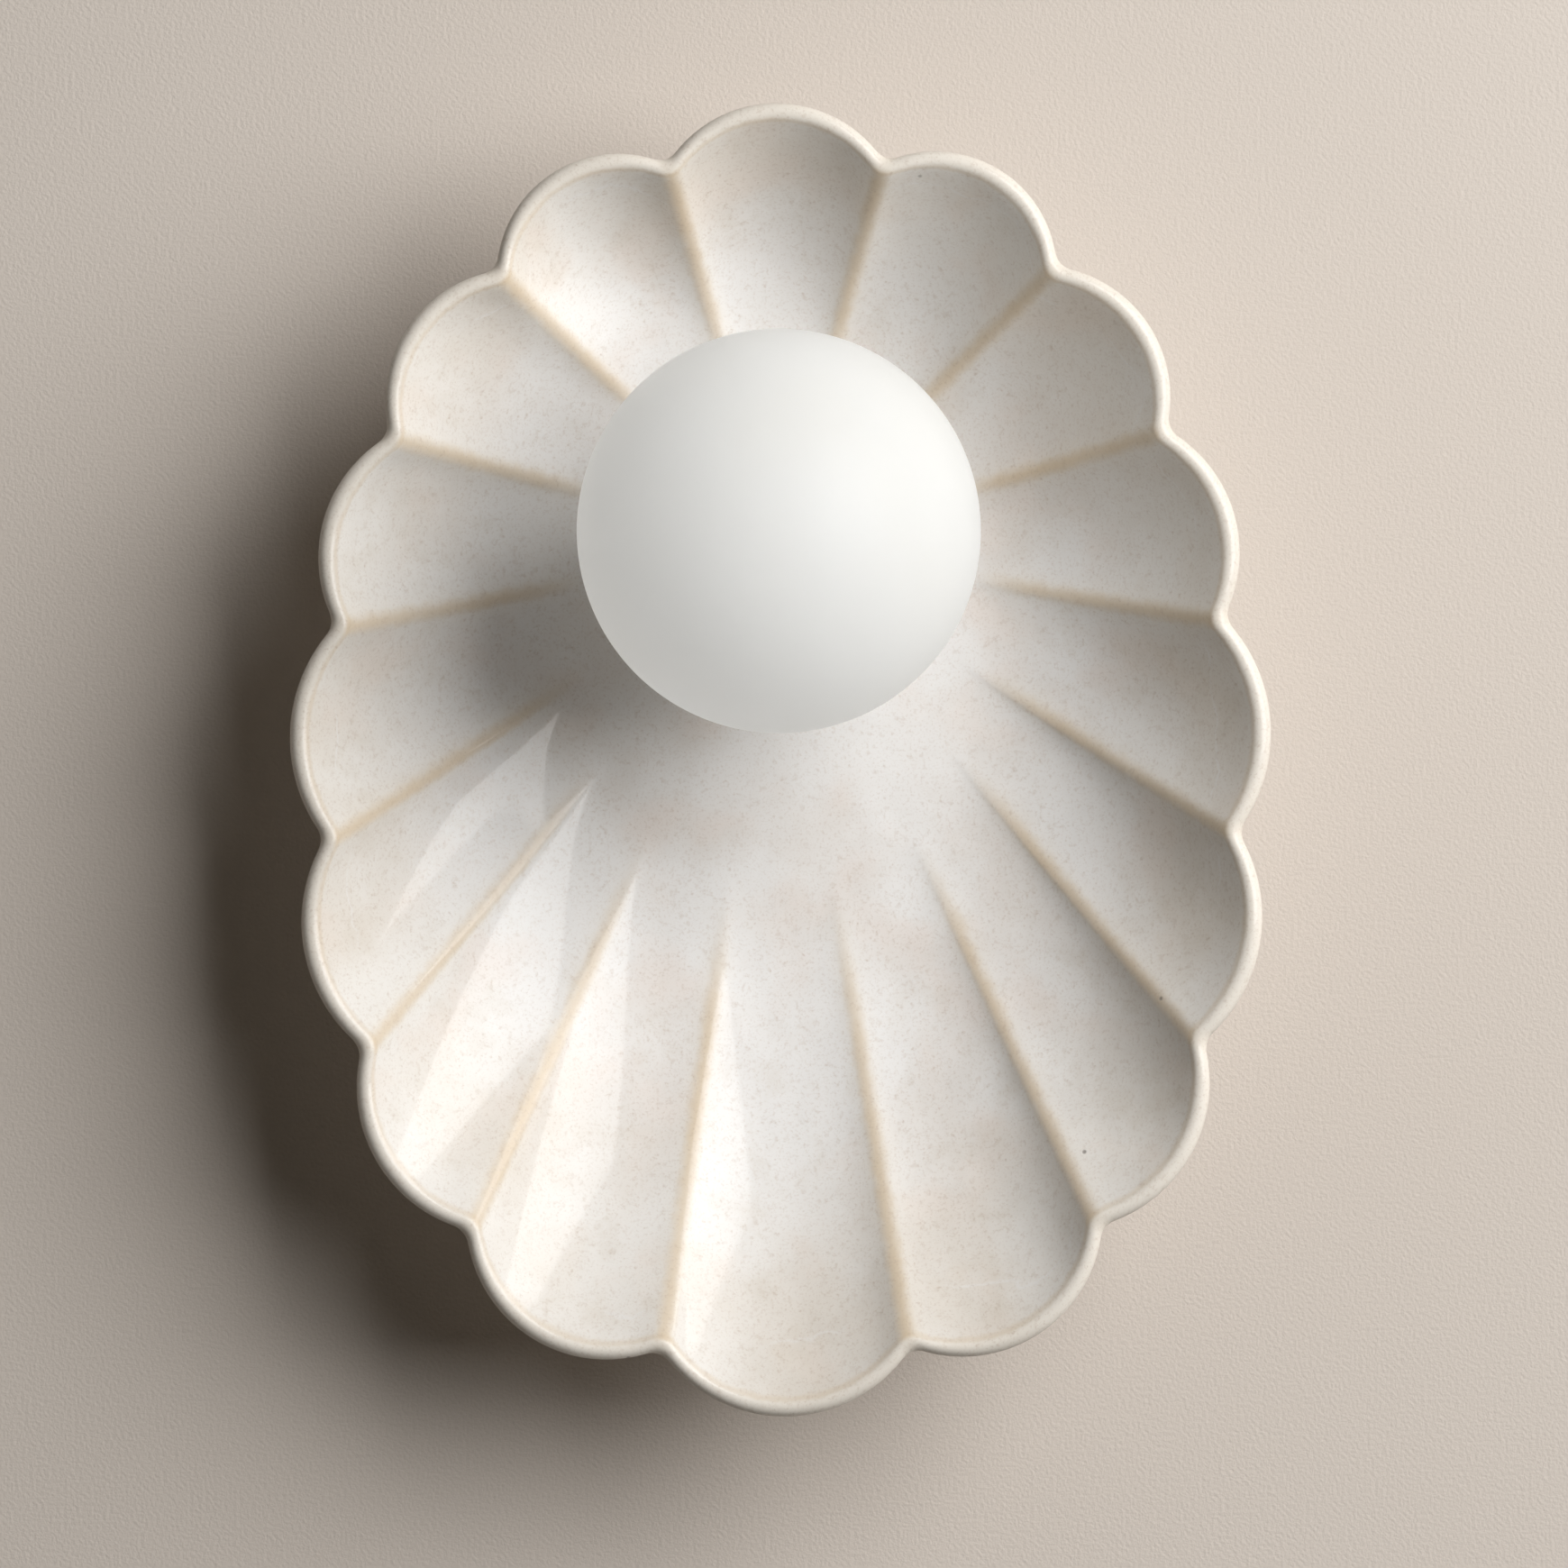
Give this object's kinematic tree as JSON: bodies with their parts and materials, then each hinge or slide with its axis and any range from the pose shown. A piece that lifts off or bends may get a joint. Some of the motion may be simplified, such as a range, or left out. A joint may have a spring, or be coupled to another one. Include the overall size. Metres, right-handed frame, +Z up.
{
  "type": "wall light",
  "caption": "Scalloped oval ceramic dish that hangs flat on a wall, with an opal glass ball in front of it that screws out to reach a pin-base lamp.",
  "frame": {"origin": "on the wall plane, on the line of the nipple that clamps the lamp together", "axes": "+Y into the wall, -Y towards the room, +Z up, +X to the right seen from the room"},
  "size_m": [0.2466, 0.142, 0.3303],
  "materials": {
    "glazed_shell": "gloss cream glaze, speckled, breaking to tan on the ribs",
    "opal_glass": "etched opal glass, satin",
    "spun_steel": "cream powder coat",
    "zinc_steel": "zinc plated",
    "brass": "plain machined brass",
    "rubber_seal": "matt black rubber",
    "silicone_seal": "translucent white silicone",
    "steatite": "unglazed white steatite",
    "lamp_plastic": "white moulded plastic",
    "lamp_cover": "clear",
    "light_strip": "yellow phosphor strips",
    "pin_wire": "bright nickel",
    "block_plastic": "white polyamide",
    "brown_sleeve": "brown silicone sleeve",
    "blue_sleeve": "blue silicone sleeve",
    "green_yellow_sleeve": "green and yellow sleeve"
  },
  "bodies": {
    "root": {"wall_bracket": "zinc_steel", "terminal_block": "block_plastic", "terminal_tubes": "brass", "terminal_screws": "zinc_steel", "earth_screw": "brass", "earth_lug": "zinc_steel", "earth_wire": "green_yellow_sleeve", "canopy_pan": "spun_steel", "canopy_screws": "brass", "threaded_nipple": "brass", "rear_lock_washer": "zinc_steel", "rear_nut": "brass", "rear_bush": "block_plastic", "front_bush": "block_plastic", "rear_gasket": "rubber_seal", "ceramic_shell": "glazed_shell", "front_gasket": "rubber_seal", "globe_fitter": "spun_steel", "lampholder_bracket": "zinc_steel", "front_lock_washer": "zinc_steel", "front_nut": "brass", "lampholder_body": "steatite", "lampholder_contacts": "pin_wire", "lampholder_screws": "zinc_steel", "live_wire": "brown_sleeve", "neutral_wire": "blue_sleeve"},
    "seal": {"globe_seal": "silicone_seal"},
    "globe": {"globe": "opal_glass"},
    "lamp": {"bulb_base": "lamp_plastic", "bulb_pins": "pin_wire", "bulb_core": "light_strip", "bulb_envelope": "lamp_cover"}
  },
  "joints": [
    {"name": "globe_advance", "type": "slide", "parent": "root", "child": "seal", "axis": [0, -1, 0], "range_m": [0, 0.012]},
    {"name": "globe_unscrew", "type": "hinge", "parent": "seal", "child": "globe", "pos_m": [0, -0.037, 0], "axis": [0, -1, 0], "range_deg": [0, 1080]},
    {"name": "lamp_pull", "type": "slide", "parent": "root", "child": "lamp", "axis": [0, -1, 0], "range_m": [0, 0.016]}
  ],
  "couplings": [
    {"joint": "globe_advance", "follows": "globe_unscrew", "m_per_rad": 0.00063662}
  ]
}
